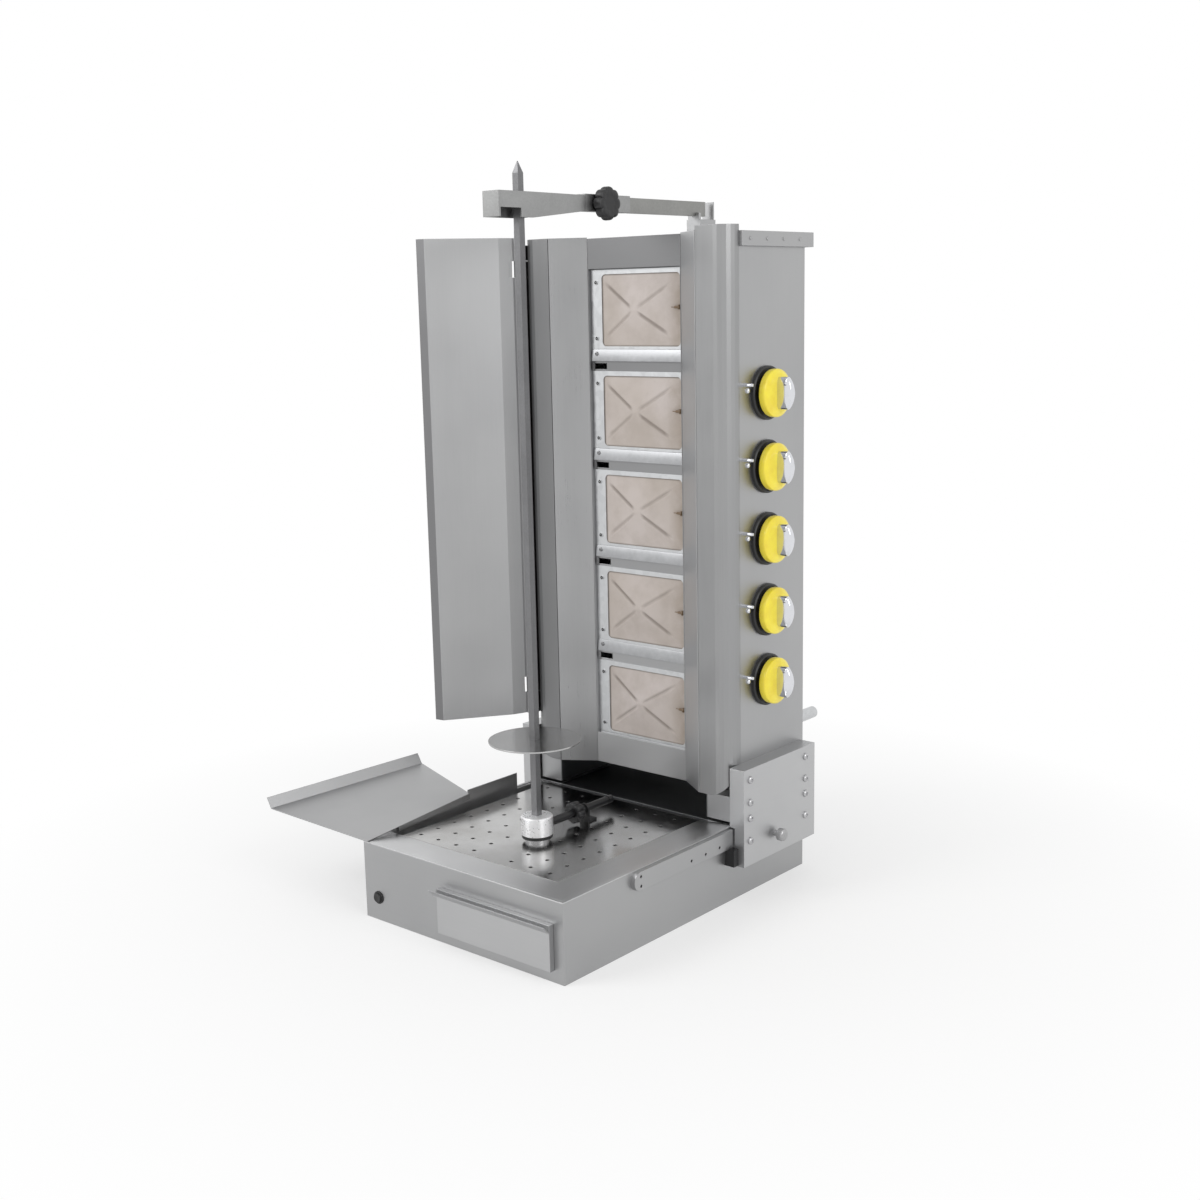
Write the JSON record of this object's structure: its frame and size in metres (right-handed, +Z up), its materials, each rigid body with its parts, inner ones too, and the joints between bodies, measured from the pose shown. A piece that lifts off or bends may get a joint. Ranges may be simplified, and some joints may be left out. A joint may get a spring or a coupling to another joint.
{
  "type": "gas doner kebab grill",
  "caption": "Upright gas grill: slotted base with drain plate and drawer, motor-driven spit in front of a sliding burner column with side dials, hinged heat wing and spit arm.",
  "frame": {"origin": "middle of the base box's underside, on the ground", "axes": "+Z up, +Y towards the back where the gas inlet is, +X to the right as seen from the front, the side with the dials"},
  "size_m": [0.7662, 0.7433, 1.233],
  "materials": {
    "stainless": "brushed",
    "polished_stainless": "polished",
    "galvanised": "satin",
    "dark_steel": "satin",
    "spit_steel": "satin",
    "hub_aluminium": "turned",
    "gear_steel": "machined",
    "ceramic": "matt",
    "screen_wire": "woven",
    "black_plastic": "satin",
    "yellow_dial": "gloss",
    "brass": "satin",
    "bar_paint": "satin"
  },
  "bodies": {
    "base": {"base_shell": "stainless", "base_floor": "galvanised", "drip_pan": "polished_stainless", "floor_plate": "polished_stainless", "slide_rails": "stainless", "catch_tray": "stainless", "drawer_runners": "galvanised", "gearbox": "dark_steel", "gear_motor": "dark_steel", "hub_ring": "black_plastic", "rod_lug": "dark_steel", "switch_bezel": "black_plastic", "cable_gland": "black_plastic"},
    "drawer": {"drawer": "stainless"},
    "switch_button": {"switch_button": "black_plastic"},
    "lock_rod": {"lock_rod": "dark_steel"},
    "lock_grip": {"lock_grip": "black_plastic"},
    "pinion": {"motor_pinion": "gear_steel"},
    "spit": {"drive_gear": "gear_steel", "spit_hub": "hub_aluminium", "spit_bar": "spit_steel", "meat_disc": "polished_stainless"},
    "column": {"column_shell": "stainless", "column_lid": "stainless", "rear_cover": "galvanised", "burner_panel": "stainless", "reflector_left": "polished_stainless", "reflector_right": "polished_stainless", "guard_left": "stainless", "guard_right": "stainless", "burner_frames": "galvanised", "burner_screens": "screen_wire", "ceramic_tiles": "ceramic", "burner_boxes": "galvanised", "gas_valves": "brass", "gas_manifold": "brass", "gas_tubes": "brass", "knob_bezels": "black_plastic", "bracket_left": "stainless", "bracket_right": "stainless", "bracket_bolts": "stainless", "slide_pads": "black_plastic", "arm_bar": "bar_paint", "arm_post": "stainless", "wing_pin": "stainless"},
    "clamp_left": {"clamp_screw_left": "stainless"},
    "clamp_right": {"clamp_screw_right": "stainless"},
    "fork": {"arm_fork": "bar_paint"},
    "arm_grip": {"arm_grip": "black_plastic"},
    "wing": {"wing": "stainless"},
    "valve_1": {"valve_stem_1": "brass"},
    "knob_1": {"gas_knob_1": "yellow_dial"},
    "valve_2": {"valve_stem_2": "brass"},
    "knob_2": {"gas_knob_2": "yellow_dial"},
    "valve_3": {"valve_stem_3": "brass"},
    "knob_3": {"gas_knob_3": "yellow_dial"},
    "valve_4": {"valve_stem_4": "brass"},
    "knob_4": {"gas_knob_4": "yellow_dial"},
    "valve_5": {"valve_stem_5": "brass"},
    "knob_5": {"gas_knob_5": "yellow_dial"}
  },
  "joints": [
    {"name": "drawer_slide", "type": "slide", "parent": "base", "child": "drawer", "axis": [0, -1, 0], "range_m": [0, 0.1]},
    {"name": "switch_push", "type": "slide", "parent": "base", "child": "switch_button", "axis": [0, 1, 0], "range_m": [0, 0.003], "stiffness_N_per_m": 400},
    {"name": "lock_rod_slide", "type": "slide", "parent": "base", "child": "lock_rod", "axis": [0, 1, 0], "range_m": [0, 0.015]},
    {"name": "lock_grip_turn", "type": "hinge", "parent": "lock_rod", "child": "lock_grip", "pos_m": [0, -0.0426, 0.152], "axis": [0, 1, 0], "range_deg": [-180, 180]},
    {"name": "spit_turn", "type": "hinge", "parent": "base", "child": "spit", "pos_m": [0, -0.138, 0.15], "axis": [0, 0, 1], "continuous": true},
    {"name": "pinion_turn", "type": "hinge", "parent": "base", "child": "pinion", "pos_m": [0, -0.078, 0.08], "axis": [0, 0, 1], "continuous": true},
    {"name": "column_slide", "type": "slide", "parent": "base", "child": "column", "axis": [0, 1, 0], "range_m": [-0.06, 0]},
    {"name": "fork_slide", "type": "slide", "parent": "column", "child": "fork", "axis": [0, 1, 0], "range_m": [0, 0.06]},
    {"name": "arm_grip_turn", "type": "hinge", "parent": "fork", "child": "arm_grip", "pos_m": [0.012, 0.052, 1.174], "axis": [1, 0, 0], "range_deg": [-180, 180]},
    {"name": "clamp_left_turn", "type": "hinge", "parent": "column", "child": "clamp_left", "pos_m": [-0.255, 0.193, 0.103], "axis": [1, 0, 0], "range_deg": [-180, 180]},
    {"name": "clamp_right_turn", "type": "hinge", "parent": "column", "child": "clamp_right", "pos_m": [0.255, 0.193, 0.103], "axis": [1, 0, 0], "range_deg": [-180, 180]},
    {"name": "wing_hinge", "type": "hinge", "parent": "column", "child": "wing", "pos_m": [-0.234, 0.1, 0.7], "axis": [0, 0, 1], "range_deg": [-120, 110]},
    {"name": "valve_turn_1", "type": "hinge", "parent": "column", "child": "valve_1", "pos_m": [0.225, 0.2105, 0.371], "axis": [1, 0, 0], "range_deg": [0, 180]},
    {"name": "knob_push_1", "type": "slide", "parent": "valve_1", "child": "knob_1", "axis": [-1, 0, 0], "range_m": [0, 0.004], "stiffness_N_per_m": 600},
    {"name": "valve_turn_2", "type": "hinge", "parent": "column", "child": "valve_2", "pos_m": [0.225, 0.2105, 0.4937], "axis": [1, 0, 0], "range_deg": [0, 180]},
    {"name": "knob_push_2", "type": "slide", "parent": "valve_2", "child": "knob_2", "axis": [-1, 0, 0], "range_m": [0, 0.004], "stiffness_N_per_m": 600},
    {"name": "valve_turn_3", "type": "hinge", "parent": "column", "child": "valve_3", "pos_m": [0.225, 0.2105, 0.6164], "axis": [1, 0, 0], "range_deg": [0, 180]},
    {"name": "knob_push_3", "type": "slide", "parent": "valve_3", "child": "knob_3", "axis": [-1, 0, 0], "range_m": [0, 0.004], "stiffness_N_per_m": 600},
    {"name": "valve_turn_4", "type": "hinge", "parent": "column", "child": "valve_4", "pos_m": [0.225, 0.2105, 0.7391], "axis": [1, 0, 0], "range_deg": [0, 180]},
    {"name": "knob_push_4", "type": "slide", "parent": "valve_4", "child": "knob_4", "axis": [-1, 0, 0], "range_m": [0, 0.004], "stiffness_N_per_m": 600},
    {"name": "valve_turn_5", "type": "hinge", "parent": "column", "child": "valve_5", "pos_m": [0.225, 0.2105, 0.8618], "axis": [1, 0, 0], "range_deg": [0, 180]},
    {"name": "knob_push_5", "type": "slide", "parent": "valve_5", "child": "knob_5", "axis": [-1, 0, 0], "range_m": [0, 0.004], "stiffness_N_per_m": 600}
  ],
  "couplings": [
    {"joint": "pinion_turn", "follows": "spit_turn", "ratio": -4},
    {"joint": "fork_slide", "follows": "column_slide", "ratio": -1}
  ]
}
